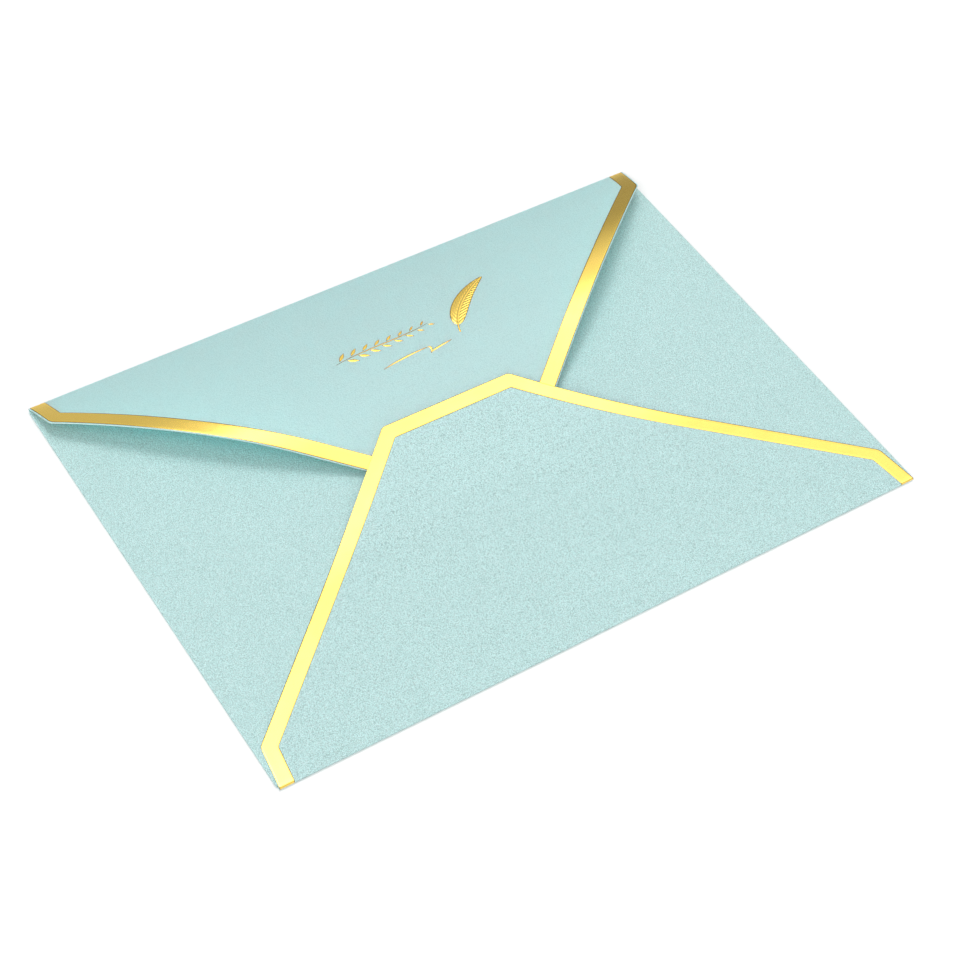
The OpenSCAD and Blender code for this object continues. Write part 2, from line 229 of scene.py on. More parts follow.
def corners(half_fold, shoulder_in, shoulder_up, half_tip, reach, d=0.0):
    """Root, shoulder and tip corners of a flap's right side as (half width, up), moved in by d."""
    root, shoulder = np.array([half_fold, 0.0]), np.array([half_fold - shoulder_in, shoulder_up])
    tip, far_tip = np.array([half_tip, reach]), np.array([-half_tip, reach])
    side = unit(shoulder - root)
    start = root + left_of(side) * d
    start = start - side * start[1] / side[1]
    if d:
        inset_shoulder = inset_corner(root, shoulder, tip, d)
        return [start, inset_shoulder, inset_corner(shoulder, tip, far_tip, d)]
    return [start, shoulder, tip]


def cut_line(corner_points, shoulder_r, tip_r):
    """Rounded cut line of one side, from the fold to the tip, as an array of (half width, up)."""
    root, shoulder, tip = corner_points
    turn = arc_corner(root, shoulder, tip, shoulder_r)
    end = arc_corner(shoulder, tip, tip * FLIP, tip_r)
    return np.array([root, *turn, *end])


BOTTOM_CUT = (PANEL_X, BOTTOM_SHOULDER_IN, BOTTOM_SHOULDER_UP, BOTTOM_TIP_W / 2, BOTTOM_REACH)
TOP_CUT = (PANEL_X, TOP_SHOULDER_IN, TOP_SHOULDER_UP, TOP_TIP_W / 2, TOP_REACH)
SIDE_REACH = (ENV_L - SIDE_TIP_GAP) / 2
SIDE_CUT = (SIDE_HALF, SIDE_SHOULDER_DROP, SIDE_SHOULDER_IN, SIDE_TIP_W / 2, SIDE_REACH)

bottom = Flap(
    BOTTOM_SECTION,
    cut_line(corners(*BOTTOM_CUT), BOTTOM_SHOULDER_R, TIP_R),
    lambda x, v, z: (x, PANEL_Y_LOW - v, z),
)
top = Flap(
    TOP_SECTION,
    cut_line(corners(*TOP_CUT), TOP_SHOULDER_R, TIP_R),
    lambda x, v, z: (x, PANEL_Y_HIGH + v, z),
)
side_cut = cut_line(corners(*SIDE_CUT), TIP_R, TIP_R)
right = Flap(SIDE_SECTION, side_cut, lambda x, v, z: (PANEL_X + v, x, z))
left = Flap(SIDE_SECTION, side_cut, lambda x, v, z: (-PANEL_X - v, x, z))

# Edges sharper than this many degrees stay sharp
SHEET_SMOOTH, FOIL_SMOOTH, GLUE_SMOOTH = 50, 60, 40


# Meshes
def make_object(name, verts, faces, materials, smooth_angle, face_materials=None, uvs=None):
    """An object from points in millimetres, with its normals outwards."""
    mesh = bpy.data.meshes.new(name)
    mesh.from_pydata([[c * MM for c in v] for v in verts], [], faces)
    for material in materials:
        mesh.materials.append(material)
    if face_materials is not None:
        mesh.polygons.foreach_set("material_index", face_materials)
    if uvs is not None:
        layer = mesh.uv_layers.new(name="UVMap")
        loops = np.empty(len(mesh.loops), dtype=np.int64)
        mesh.loops.foreach_get("vertex_index", loops)
        layer.data.foreach_set("uv", np.asarray(uvs, dtype=np.float32)[loops].ravel())
    work = bmesh.new()
    work.from_mesh(mesh)
    bmesh.ops.recalc_face_normals(work, faces=work.faces)
    work.to_mesh(mesh)
    work.free()
    mesh.polygons.foreach_set("use_smooth", [True] * len(mesh.polygons))
    mesh.set_sharp_from_angle(angle=math.radians(smooth_angle))
    obj = bpy.data.objects.new(name, mesh)
    bpy.context.scene.collection.objects.link(obj)
    return obj


def close_layers(top_faces, count):
    """Three groups of faces that close a shell.

    They are top_faces, the same faces count points further on, and a rim along the open edges.
    """
    edges = {}
    for face in top_faces:
        for a, b in zip(face, face[1:] + face[:1]):
            key = (min(a, b), max(a, b))
            edges[key] = None if key in edges else (a, b)
    rim = [(a, b, b + count, a + count) for a, b in filter(None, edges.values())]
    unders = [tuple(i + count for i in reversed(f)) for f in top_faces]
    return top_faces, unders, rim


# Folded sheet: front panel and four flaps in one connected mesh with both faces and its cut edge
SHEET_COLUMNS, BEND_STEP = 49, 1.0
STRAIGHT_STEPS = ((bottom, 3.0), (top, 2.0), (right, 4.0), (left, 4.0))
PLAIN, CUT, RAISED = 0, 1, 2
# Points that are alike to this many digits of a millimetre are one
SAME_DIGITS = 4


def folded_sheet(name, paper, cut_edge, raised_paper):
    outer, inner, index, faces = [], [], {}, []

    def vertex(low, high):
        key = tuple(round(c, SAME_DIGITS) for c in (*low, *high))
        if key not in index:
            index[key] = len(outer)
            outer.append(low)
            inner.append(high)
        return index[key]

    def grid(rows):
        for r0, r1 in zip(rows, rows[1:]):
            faces.extend(face for face in zip(r0, r0[1:], r1[1:], r1) if len(set(face)) == 4)

    across = np.linspace(-1, 1, SHEET_COLUMNS)
    xs = [a * PANEL_X for a in across]
    ys = [PANEL_Y_LOW, *[b * SIDE_HALF for b in across], PANEL_Y_HIGH]
    grid([[vertex((x, y, 0.0), (x, y, PAPER_T)) for x in xs] for y in ys])
    for flap, straight_step in STRAIGHT_STEPS:
        rows = []
        for s in flap.rows(BEND_STEP, straight_step):
            places = across * flap.half(s)
            rows.append([vertex(flap.point(x, s, 0), flap.point(x, s, -PAPER_T)) for x in places])
        first = len(faces)
        grid(rows)
        if flap is top:
            raised = range(first, len(faces))
    tops, unders, rim = close_layers(faces, len(outer))
    both_sides = [RAISED if i in raised else PLAIN for i in range(len(faces))] * 2
    materials = [paper, cut_edge, raised_paper]
    face_materials = both_sides + [CUT] * len(rim)
    verts = outer + inner
    return make_object(name, verts, tops + unders + rim, materials, SHEET_SMOOTH, face_materials)


# Foil: thin closed films that follow the sheet, with rounded edges pressed into it.
# An edge step is a distance from the edge and a share of the foil's height.
EDGE_STEPS = [(0.0, 0.0), (0.1, 0.55), (0.2, 0.88), (0.34, 1.0)]
FOIL_SINK = 0.012
# A film's UV map holds x over this, and the distance from the film's edge in millimetres
UV_WIDTH = 100


def film(name, flap, rows, heights, edge_gaps, material):
    """A film from rows of (x, up) points.

    heights are above the sheet, and edge_gaps the distances from the film's edge.
    """
    count = sum(len(r) for r in rows)
    verts = [flap.over(x, up, h) for row, hs in zip(rows, heights) for (x, up), h in zip(row, hs)]
    verts += [flap.over(x, up, -FOIL_SINK) for row in rows for x, up in row]
    uvs = [(p[0] / UV_WIDTH, g) for row, gaps in zip(rows, edge_gaps) for p, g in zip(row, gaps)] * 2
    faces, start = [], 0
    for row in rows[:-1]:
        wide = len(row)
        for i in range(start, start + wide - 1):
            faces.append((i, i + 1, i + wide + 1, i + wide))
        start += wide
    tops, unders, rim = close_layers(faces, count)
    return make_object(name, verts, tops + unders + rim, [material], FOIL_SMOOTH, None, uvs)


# Foil bands: degrees between rows over the fold, largest step along them, and steps of a corner's
# arc. The middle of a band lies lower than its sides by a small share of its height.
FOLD_STEP, BAND_STEP, BAND_ARC_STEPS = 9, 1.0, 10
BAND_MIDDLE, BAND_SAG = (0.25, 0.5, 0.75), 0.12


def band(name, flap, cut, inset, width, shoulder_r, material):
    """Foil band along a flap's cut edge, which leaves inset of bare paper outside it."""
    lines = []
    for d, sr, tr in ((inset, shoulder_r, TIP_R), (inset + width, BAND_INNER_R, BAND_INNER_R)):
        root, shoulder, tip = corners(*cut, d)
        turn = arc_corner(root, shoulder, tip, sr, BAND_ARC_STEPS)
        end = arc_corner(shoulder, tip, tip * FLIP, tr, BAND_ARC_STEPS)
        lines.append([root, turn, end, np.array([0.0, tip[1]])])
    (o_root, o_turn, o_end, o_mid), (i_root, i_turn, i_end, i_mid) = lines
    fold_angles = [math.radians(a) for a in range(0, 91, FOLD_STEP)]
    bend = [flap.fold_out * (1 - math.cos(a)) for a in fold_angles]

    def on_side(root, turn, up):
        return root + (turn[0] - root) * (up - root[1]) / (turn[0][1] - root[1])

    def between(a, b, c, d):
        n = max(2, math.ceil(max(np.linalg.norm(b - a), np.linalg.norm(d - c)) / BAND_STEP))
        return [(a + (b - a) * i / n, c + (d - c) * i / n) for i in range(1, n + 1)]

    pairs = [(on_side(o_root, o_turn, up), on_side(i_root, i_turn, up)) for up in bend]
    pairs += between(pairs[-1][0], o_turn[0], pairs[-1][1], i_turn[0])
    pairs += list(zip(o_turn[1:], i_turn[1:]))
    pairs += between(o_turn[-1], o_end[0], i_turn[-1], i_end[0])
    pairs += list(zip(o_end[1:], i_end[1:]))
    pairs += between(o_end[-1], o_mid, i_end[-1], i_mid)
    pairs += [(o * FLIP, i * FLIP) for o, i in reversed(pairs[:-1])]
    rows, heights, gaps = [], [], []
    for o, i in pairs:
        wide = np.linalg.norm(i - o)
        steps = [(g / wide, h, g) for g, h in EDGE_STEPS]
        sags = [BAND_SAG * math.sin(math.pi * q) ** 2 for q in BAND_MIDDLE]
        middle = [(q, 1 - sag, min(q, 1 - q) * wide) for q, sag in zip(BAND_MIDDLE, sags)]
        marks = steps + middle + [(1 - q, h, g) for q, h, g in reversed(steps)]
        rows.append([o + (i - o) * q for q, _, _ in marks])
        heights.append([FOIL_T * h for _, h, _ in marks])
        gaps.append([g for _, _, g in marks])
    return film(name, flap, rows, heights, gaps, material)


def to_up(point):
    """(x, up) on the top flap for a point (x, y) of the plan."""
    return np.array([point[0], ENV_H / 2 - point[1]])


# Sections across a line and a leaf: (share of its half width, share of the foil's height)
LINE_MARKS = ((-1, 0), (-0.7, 0.7), (-0.3, 1), (0.3, 1), (0.7, 0.7), (1, 0))
HALF_LEAF = ((1, 0), (0.8, 0.6), (0.45, 1), (0.12, 0.8))
LEAF_MARKS = (*[(-q, h) for q, h in HALF_LEAF], (0, 0.35), *reversed(HALF_LEAF))

# A line is darkened along less of its edge than a band is
LINE_GAP_SCALE = 1.7


def stroke_rows(points, halves, marks=LINE_MARKS):
    """Rows, heights and edge gaps of a crowned line along the points, halves wide on either side."""
    rows, heights, gaps = [], [], []
    last = len(points) - 1
    for i, (p, half) in enumerate(zip(points, halves)):
        normal = left_of(unit(points[min(i + 1, last)] - points[max(i - 1, 0)]))
        rows.append([to_up(p + normal * half * q) for q, _ in marks])
        heights.append([FOIL_T * h for _, h in marks])
        gaps.append([LINE_GAP_SCALE * half * (1 - abs(q)) for q, _ in marks])
    return rows, heights, gaps


# Share of its full width that a pen line keeps at both ends
LINE_END_SHARE = 0.3


def pen_line(points, width):
    """A line that swells towards its middle."""
    last = len(points) - 1
    swells = [(1 - LINE_END_SHARE) * math.sin(math.pi * i / last) for i in range(last + 1)]
    return stroke_rows(points, [width / 2 * (LINE_END_SHARE + swell) for swell in swells])


def join(name, parts, material):
    """One object from several films, which are removed."""
    verts, faces, uvs, start = [], [], [], 0
    for part in parts:
        mesh = part.data
        verts += [v.co / MM for v in mesh.vertices]
        layer = [None] * len(mesh.vertices)
        for loop in mesh.loops:
            layer[loop.vertex_index] = mesh.uv_layers[0].data[loop.index].uv[:]
        uvs += layer
        faces += [[start + i for i in p.vertices] for p in mesh.polygons]
        start += len(mesh.vertices)
        bpy.data.objects.remove(part)
        bpy.data.meshes.remove(mesh)
    return make_object(name, verts, faces, [material], FOIL_SMOOTH, None, uvs)


# Feather: a curved shaft from the quill's point to the vane's tip
QUILL_AT, FEATHER_L, FEATHER_ANGLE = np.array([13.9, 27.7]), 21.4, math.radians(43.4)
SHAFT_BEND, SHAFT_HANDLES = 3.2, (0.21, 0.63)
QUILL_SHARE, QUILL_LAP, QUILL_W, QUILL_TAPER, QUILL_ROWS = 0.15, 0.02, 0.5, 0.8, 16
VANE_W, VANE_FULLNESS, VANE_MARGIN, VANE_ROWS, VANE_COLUMNS = 4.4, 0.66, 0.02, 220, 33
# The vane is drawn from just after its start to just before its end, where its width is zero
VANE_FIRST, VANE_LAST = 0.001, 0.998
# Ridges: barbs grow from a low foot to their height over BARB_RUN, between the shaft and a rounded edge
BARB_PITCH, BARB_LEAN, BARB_HIGH, BARB_FOOT, BARB_RUN = 1.2, 0.75, 0.08, 0.2, 0.5
SHAFT_W, FURROW_AT, FURROW_W, FURROW_DEPTH, VANE_EDGE_W = 0.16, 0.34, 0.14, 0.6, 0.25


def shaft_point(share):
    along = heading(FEATHER_ANGLE)
    rise, fall = [(FEATHER_L * handle, SHAFT_BEND) for handle in SHAFT_HANDLES]
    v, w = bezier((0, 0), rise, fall, (FEATHER_L, 0), share)
    return QUILL_AT + along * v + left_of(along) * w


def vane_half(share):
    f = max((share - QUILL_SHARE) / (1 - QUILL_SHARE), VANE_FIRST)
    return VANE_W / 2 * math.sin(math.pi * f**VANE_FULLNESS) ** VANE_FULLNESS


def feather(name, material):
    shares = np.linspace(QUILL_SHARE, VANE_LAST, VANE_ROWS)
    points = [shaft_point(t) for t in shares]
    steps = [np.linalg.norm(b - a) for a, b in zip(points, points[1:])]
    run = np.concatenate([[0], np.cumsum(steps)])
    rows, heights, gaps = [], [], []
    for k, (t, p) in enumerate(zip(shares, points)):
        half = vane_half(t) + VANE_MARGIN
        normal = left_of(unit(points[min(k + 1, VANE_ROWS - 1)] - points[max(k - 1, 0)]))
        row, high, gap = [], [], []
        for q in np.linspace(-1, 1, VANE_COLUMNS):
            off = abs(q) * half
            room = max(half - off, 0.0)
            # Barbs lean from the shaft towards the tip
            barb = 0.5 + 0.5 * math.cos(2 * math.pi * (run[k] - off / BARB_LEAN) / BARB_PITCH)
            shaft = math.exp(-((off / SHAFT_W) ** 2))
            furrow = 1 - FURROW_DEPTH * math.exp(-(((off - FURROW_AT) / FURROW_W) ** 2))
            level = (BARB_FOOT + (1 - BARB_FOOT) * barb * min(1.0, off / BARB_RUN)) * furrow
            level = max(level, shaft) * math.sqrt(min(1.0, room / VANE_EDGE_W))
            row.append(to_up(p + normal * q * half))
            high.append(BARB_HIGH * level)
            gap.append(room)
        rows.append(row)
        heights.append(high)
        gaps.append(gap)
    vane = film("vane", top, rows, heights, gaps, material)
    quill_points = [shaft_point(t) for t in np.linspace(0, QUILL_SHARE + QUILL_LAP, QUILL_ROWS)]
    halves = np.linspace(QUILL_TAPER, 1, QUILL_ROWS) * QUILL_W / 2
    quill = film("quill", top, *stroke_rows(quill_points, halves), material)
    return join(name, [vane, quill], material)


# Pen stroke: a long line, a hook down and back, and a short tail
STROKE_FROM, STROKE_L, STROKE_TAIL_L, HOOK_H, STROKE_W = np.array([-9.1, 26.1]), 13.6, 6.6, 2.1, 0.5
STROKE_RISE, STROKE_TAIL_RISE, STROKE_SWING, STROKE_ROWS = 1.2, 1.4, 0.8, 30


def pen_stroke(name, material):
    crest = STROKE_FROM + [STROKE_L, STROKE_RISE]
    hook = crest - [HOOK_H / 4, HOOK_H]
    tail = hook + [STROKE_TAIL_L, STROKE_TAIL_RISE]
    up, out = np.array([0, STROKE_SWING]), np.array([STROKE_SWING, 0])
    lines = [
        (STROKE_FROM, STROKE_FROM + [STROKE_L / 3, 0] + up, crest - [STROKE_L / 3, 0], crest),
        (crest - out, crest + out, hook + out + [0, HOOK_H / 2], hook),
        (hook, hook + out / 2 + up, tail - [STROKE_TAIL_L / 3, STROKE_SWING / 2], tail),
    ]
    shares = np.linspace(0, 1, STROKE_ROWS)
    curves = [[bezier(*line, t) for t in shares] for line in lines]
    parts = [film("line", top, *pen_line(curve, STROKE_W), material) for curve in curves]
    return join(name, parts, material)


# Leaf sprig: a curved stem with separate leaves on both sides
SPRIG_FROM, SPRIG_L, SPRIG_RISE, LEAF_PAIRS = np.array([-18.6, 33.0]), 27.0, 1.4, 8
LEAF_L, LEAF_W, LEAF_SHRINK, LEAF_ANGLE, LEAF_GAP = 3.4, 1.0, 0.45, math.radians(34.0), 0.35
LEAF_STEPS, LEAF_END_SHARE = 14, 0.02
STEM_W, STEM_SWING, STEM_STEP = 0.34, 1.5, 0.4


def spread(points, step):
    """Points of a polyline, at most step apart."""
    out = [points[0]]
    for a, b in zip(points, points[1:]):
        n = max(1, math.ceil(np.linalg.norm(b - a) / step))
        out += [a + (b - a) * i / n for i in range(1, n + 1)]
    return out


def sprig(name, material):
    end = SPRIG_FROM + [SPRIG_L, SPRIG_RISE]
    swing = np.array([SPRIG_L / 3, STEM_SWING])
    curve = (SPRIG_FROM, SPRIG_FROM + swing, end - swing, end)
    stem = [bezier(*curve, t) for t in np.linspace(0, 1, 4 * LEAF_PAIRS + 1)]
    parts = [film("stem", top, *pen_line(spread(stem, STEM_STEP), STEM_W), material)]
    shares = [j / LEAF_STEPS for j in range(LEAF_STEPS + 1)]
    shares = [min(max(share, LEAF_END_SHARE), 1 - LEAF_END_SHARE) for share in shares]
    for i in range(1, LEAF_PAIRS + 1):
        for side in (0, 1):
            k = 4 * i - 3 + 2 * side
            size = 1 - LEAF_SHRINK * i / LEAF_PAIRS
            lean = stem[k + 1] - stem[k - 1]
            along = heading(math.atan2(lean[1], lean[0]) + LEAF_ANGLE * (1 - 2 * side))
            root = stem[k] + along * LEAF_GAP / math.sin(LEAF_ANGLE)
            points = [root + along * LEAF_L * size * j / LEAF_STEPS for j in range(LEAF_STEPS + 1)]
            halves = [LEAF_W * size / 2 * math.sin(math.pi * share) for share in shares]
            parts.append(film("leaf", top, *stroke_rows(points, halves, LEAF_MARKS), material))
    return join(name, parts, material)


# Glue lines between the bottom flap and the side flaps
GLUE_STEPS = 24


def glue_lines(name, material):
    shoulder = np.array([PANEL_X - BOTTOM_SHOULDER_IN, BOTTOM_SHOULDER_UP - ENV_H / 2])
    tip = np.array([BOTTOM_TIP_W / 2, BOTTOM_REACH - ENV_H / 2])
    along = unit(tip - shoulder)
    inward = left_of(along)
    length = (LIFT_START_Y - shoulder[1]) / along[1] - GLUE_W
    layer = 2 * (GLUE_STEPS + 1)
    verts, faces = [], []
    for side in (1, -1):
        start = len(verts)
        for z in (BOTTOM_LOW, SIDE_TOP):
            for i in range(GLUE_STEPS + 1):
                for across in (0, GLUE_W):
                    x, y = shoulder + inward * (GLUE_INSET + across) + along * length * i / GLUE_STEPS
                    verts.append((side * x, y, z))
        firsts = range(start, start + 2 * GLUE_STEPS, 2)
        for group in close_layers([(i, i + 1, i + 3, i + 2) for i in firsts], layer):
            faces += group
    return make_object(name, verts, faces, [material], GLUE_SMOOTH)


# Materials
def new_material(name):
    material = bpy.data.materials.new(name)
    material.use_nodes = True
    nodes = material.node_tree.nodes
    return material, nodes, material.node_tree.links, nodes["Principled BSDF"]


def add(nodes, kind, inputs=None, **settings):
    node = nodes.new(kind)
    for key, value in settings.items():
        setattr(node, key, value)
    for key, value in (inputs or {}).items():
        node.inputs[key].default_value = value
    return node


def combine(nodes, links, operation, a, b):
    node = add(nodes, "ShaderNodeMath", operation=operation)
    links.new(a, node.inputs[0])
    links.new(b, node.inputs[1])
    return node.outputs["Value"]


def noise(nodes, links, scale, detail, rough=0.5):
    where = add(nodes, "ShaderNodeTexCoord")
    inputs = {"Scale": scale, "Detail": detail, "Roughness": rough}
    texture = add(nodes, "ShaderNodeTexNoise", inputs)
    links.new(where.outputs["Object"], texture.inputs["Vector"])
    return texture.outputs["Fac"]


def ramp(nodes, links, value, stops):
    node = nodes.new("ShaderNodeValToRGB")
    elements = node.color_ramp.elements
    while len(elements) < len(stops):
        elements.new(0.5)
    for element, (position, colour) in zip(elements, stops):
        element.position = position
        element.color = (*colour, 1)
    links.new(value, node.inputs["Fac"])
    return node.outputs["Color"]


def map_range(nodes, links, value, from_min, from_max, to_min, to_max, smooth=False):
    inputs = {"From Min": from_min, "From Max": from_max, "To Min": to_min, "To Max": to_max}
    node = add(nodes, "ShaderNodeMapRange", inputs)
    node.interpolation_type = "SMOOTHSTEP" if smooth else "LINEAR"
    links.new(value, node.inputs["Value"])
    return node.outputs["Result"]


def seen_light(nodes, links):
    """1 for the camera, reflections and passed light, and 0 for the light that falls on the object."""
    path = add(nodes, "ShaderNodeLightPath")
    rays = path.outputs
    seen = combine(nodes, links, "MAXIMUM", rays["Is Camera Ray"], rays["Is Glossy Ray"])
    return combine(nodes, links, "MAXIMUM", seen, rays["Is Transmission Ray"])


# Part of a noise texture's range over which two colours change into each other
BLOTCH_LOW, BLOTCH_HIGH = 0.3, 0.7

PAPER_COLOUR, PAPER_CONTRAST = (0.43, 0.622, 0.614), 0.34
RAISED_COLOUR, RAISED_CONTRAST = (0.862, 0.872, 0.852), 0.16
PASSED_COLOUR, PASSED_SHARE = (0.1, 0.98, 1.0, 1), 0.52
# Scales of the flakes, of the slow change in the pulp and of the surface's grain
FLAKES, PULP, GRAIN = 4300, 45, 2800
PULP_SHARE, GRAIN_H = 0.06, 0.0002
# A flake's colour fades from bright at its middle to dark over these distances, partly the paper's
# speckle and partly painted glint; its specular shine is higher if its random number is high
FLAKE_FADE, SHINY_FLAKES = (0.1, 0.8), (0.6, 0.9)
PAPER_IOR, PAPER_ROUGHNESS = 1.6, 0.38


def pearl_paper(name, colour, contrast, through=0.0):
    """Pearl paper whose flakes are darker and brighter than its colour, partly its own speckle and
    partly painted glint.

    A share of the light may pass through it.
    """
    material, nodes, links, shader = new_material(name)
    where = add(nodes, "ShaderNodeTexCoord")
    flakes = add(nodes, "ShaderNodeTexVoronoi", {"Scale": FLAKES})
    links.new(where.outputs["Object"], flakes.inputs["Vector"])
    chance = add(nodes, "ShaderNodeSeparateColor")
    links.new(flakes.outputs["Color"], chance.inputs["Color"])
    mixed = add(nodes, "ShaderNodeMix", {"Factor": PULP_SHARE}, data_type="FLOAT")
    # Flakes bright at their middles and dark at their rims: partly the paper's speckle, partly painted
    # glint and shade of the pearl grain
    flake_speckle_and_glint = map_range(nodes, links, flakes.outputs["Distance"], *FLAKE_FADE, 1, 0)
    links.new(flake_speckle_and_glint, mixed.inputs["A"])
    links.new(noise(nodes, links, PULP, detail=3.0), mixed.inputs["B"])
    dark, bright = [tuple(c * k for c in colour) for k in (1 - contrast, 1 + contrast)]
    shades = ramp(nodes, links, mixed.outputs["Result"], [(0.0, dark), (1.0, bright)])
    links.new(shades, shader.inputs["Base Color"])
    shine = map_range(nodes, links, chance.outputs["Red"], *SHINY_FLAKES, 0, 1)
    links.new(shine, shader.inputs["Specular IOR Level"])
    shader.inputs["IOR"].default_value = PAPER_IOR
    shader.inputs["Roughness"].default_value = PAPER_ROUGHNESS
    bump = add(nodes, "ShaderNodeBump", {"Strength": 1.0, "Distance": GRAIN_H})
    grain = noise(nodes, links, GRAIN, detail=1.0, rough=0.6)
    links.new(grain, bump.inputs["Height"])
    links.new(bump.outputs["Normal"], shader.inputs["Normal"])
    if through:
        passed = add(nodes, "ShaderNodeBsdfTranslucent", {"Color": PASSED_COLOUR})
        both = add(nodes, "ShaderNodeMixShader", {"Fac": through})
        links.new(shader.outputs["BSDF"], both.inputs[1])
        links.new(passed.outputs["BSDF"], both.inputs[2])
        links.new(both.outputs["Shader"], nodes["Material Output"].inputs["Surface"])
    return material


def blotched(name, scale, detail, dark, bright, roughness):
    """A matt material of two colours in fine blotches."""
    material, nodes, links, shader = new_material(name)
    blotch = noise(nodes, links, scale, detail)
    colour = ramp(nodes, links, blotch, [(BLOTCH_LOW, dark), (BLOTCH_HIGH, bright)])
    links.new(colour, shader.inputs["Base Color"])
    shader.inputs["Roughness"].default_value = roughness
    return material


# Name, scale and detail of the blotches, their two colours, and roughness
CUT_PAPER = ("cut_paper", 3500, 3.0, (0.5, 0.69, 0.67), (0.66, 0.8, 0.78), 0.8)
DRIED_GLUE = ("dried_glue", 900, 2.0, (0.6, 0.68, 0.64), (0.74, 0.8, 0.76), 0.4)

DEEP_GOLD, PALE_GOLD, GOLD_BLOTCHES = (0.98, 0.69, 0.15), (1.0, 0.715, 0.165), 160
# The foil's colour is darker along its edge: the fade in millimetres from the edge, and its darkest
# shade
DARK_EDGE_FADE, DARK_EDGE_SHADE = (0.07, 0.22), 0.2
FOIL_GRAIN, FOIL_GRAIN_FADE, FOIL_ROUGHNESS = 1800, (0.35, 0.65), (0.17, 0.2)
FOIL_BUMP, FOIL_BUMP_H = 0.03, 0.00003


def gold_foil():
    material, nodes, links, shader = new_material("gold_foil")
    where = add(nodes, "ShaderNodeUVMap", uv_map="UVMap")
    split = add(nodes, "ShaderNodeSeparateXYZ")
    links.new(where.outputs["UV"], split.inputs["Vector"])
    tone = noise(nodes, links, GOLD_BLOTCHES, detail=2.0)
    colour = ramp(nodes, links, tone, [(BLOTCH_LOW, DEEP_GOLD), (BLOTCH_HIGH, PALE_GOLD)])
    edge = map_range(nodes, links, split.outputs["Y"], *DARK_EDGE_FADE, DARK_EDGE_SHADE, 1, True)
    shade = add(nodes, "ShaderNodeVectorMath", operation="SCALE")
    links.new(colour, shade.inputs[0])
    links.new(edge, shade.inputs["Scale"])
    links.new(shade.outputs["Vector"], shader.inputs["Base Color"])
    shader.inputs["Metallic"].default_value = 1.0
    grain = noise(nodes, links, FOIL_GRAIN, detail=2.0)
    roughness = map_range(nodes, links, grain, *FOIL_GRAIN_FADE, *FOIL_ROUGHNESS)
    links.new(roughness, shader.inputs["Roughness"])
    bump = add(nodes, "ShaderNodeBump", {"Strength": FOIL_BUMP, "Distance": FOIL_BUMP_H})
    links.new(grain, bump.inputs["Height"])
    links.new(bump.outputs["Normal"], shader.inputs["Normal"])
    return material


paper = pearl_paper("pearl_paper", PAPER_COLOUR, PAPER_CONTRAST)
raised_paper = pearl_paper("raised_paper", RAISED_COLOUR, RAISED_CONTRAST, PASSED_SHARE)
edge_paper, foil, glue = blotched(*CUT_PAPER), gold_foil(), blotched(*DRIED_GLUE)

sheet = folded_sheet("folded_sheet", paper, edge_paper, raised_paper)
seam_glue = glue_lines("glue_lines", glue)
bottom_band = band("bottom_foil_band", bottom, BOTTOM_CUT, 0.0, BOTTOM_BAND_W, BOTTOM_SHOULDER_R, foil)
top_band = band("top_foil_band", top, TOP_CUT, TOP_BAND_INSET, TOP_BAND_W, TOP_SHOULDER_R, foil)
feather_print = feather("foil_feather", foil)
stroke_print = pen_stroke("foil_pen_stroke", foil)
sprig_print = sprig("foil_sprig", foil)

for piece, node, slot in (
    (sheet, "paper_sheet", "pearl_paper"),
    (seam_glue, "paper_sheet", "pearl_paper"),
    (bottom_band, "bottom_flap_foil", "gold_foil"),
    (top_band, "top_flap_foil", "gold_foil"),
    (feather_print, "feather_foil", "gold_foil"),
    (stroke_print, "pen_stroke_foil", "gold_foil"),
    (sprig_print, "sprig_foil", "gold_foil"),
):
    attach(piece, "root")
    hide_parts(node)


# Floor: a large pale disc. The camera, reflections and passed light see it lit up to white, and it
# keeps the soft shadow.
FLOOR_R, FLOOR_DROP, FLOOR_SIDES = 6.0, 0.00005, 96
FLOOR_COLOUR, FLOOR_ROUGHNESS, FLOOR_GLOW = (0.8, 0.8, 0.8, 1), 0.9, 0.04
WHITE = (1, 1, 1, 1)


def floor():
    material, nodes, links, shader = new_material("pale_floor")
    shader.inputs["Base Color"].default_value = FLOOR_COLOUR
    shader.inputs["Roughness"].default_value = FLOOR_ROUGHNESS
    shader.inputs["Specular IOR Level"].default_value = 0.0
    seen = seen_light(nodes, links)
    glow = add(nodes, "ShaderNodeMath", {1: FLOOR_GLOW}, operation="MULTIPLY")
    links.new(seen, glow.inputs[0])
    shader.inputs["Emission Color"].default_value = WHITE
    links.new(glow.outputs["Value"], shader.inputs["Emission Strength"])
    at = (0, 0, -FLOOR_DROP)
    bpy.ops.mesh.primitive_circle_add(
        vertices=FLOOR_SIDES, radius=FLOOR_R, fill_type="NGON", location=at
    )
    disc = bpy.context.object
    disc.name = "floor"
    disc.data.materials.append(material)


# World: directions in degrees, and brightness over parts of the sky.
# A fade is the pair of dot products with a direction, or of heights, between which the light changes.
def direction(azimuth, elevation):
    a, e = math.radians(azimuth), math.radians(elevation)
    return (math.cos(e) * math.cos(a), math.cos(e) * math.sin(a), math.sin(e))


def cone(outer, inner):
    """Fade from outer to inner degrees off a direction."""
    return math.cos(math.radians(outer)), math.cos(math.radians(inner))


RIGHT, FAR, UP = (1, 0, 0), (0, 1, 0), (0, 0, 1)
# A soft room that is brighter round the box, a large light behind the object
BOX_AT, BOX_CONE, BOX_LOW_FADE = direction(42, 60), cone(28, 15), (0.735, 0.85)
BOX_TOP, BOX_DIM = (0.89, 0.95), 0.4
ROOM, CEILING, CEILING_FADE, BOX_EXTRA = 0.8, 1.15, (0.55, 0.85), 1.6
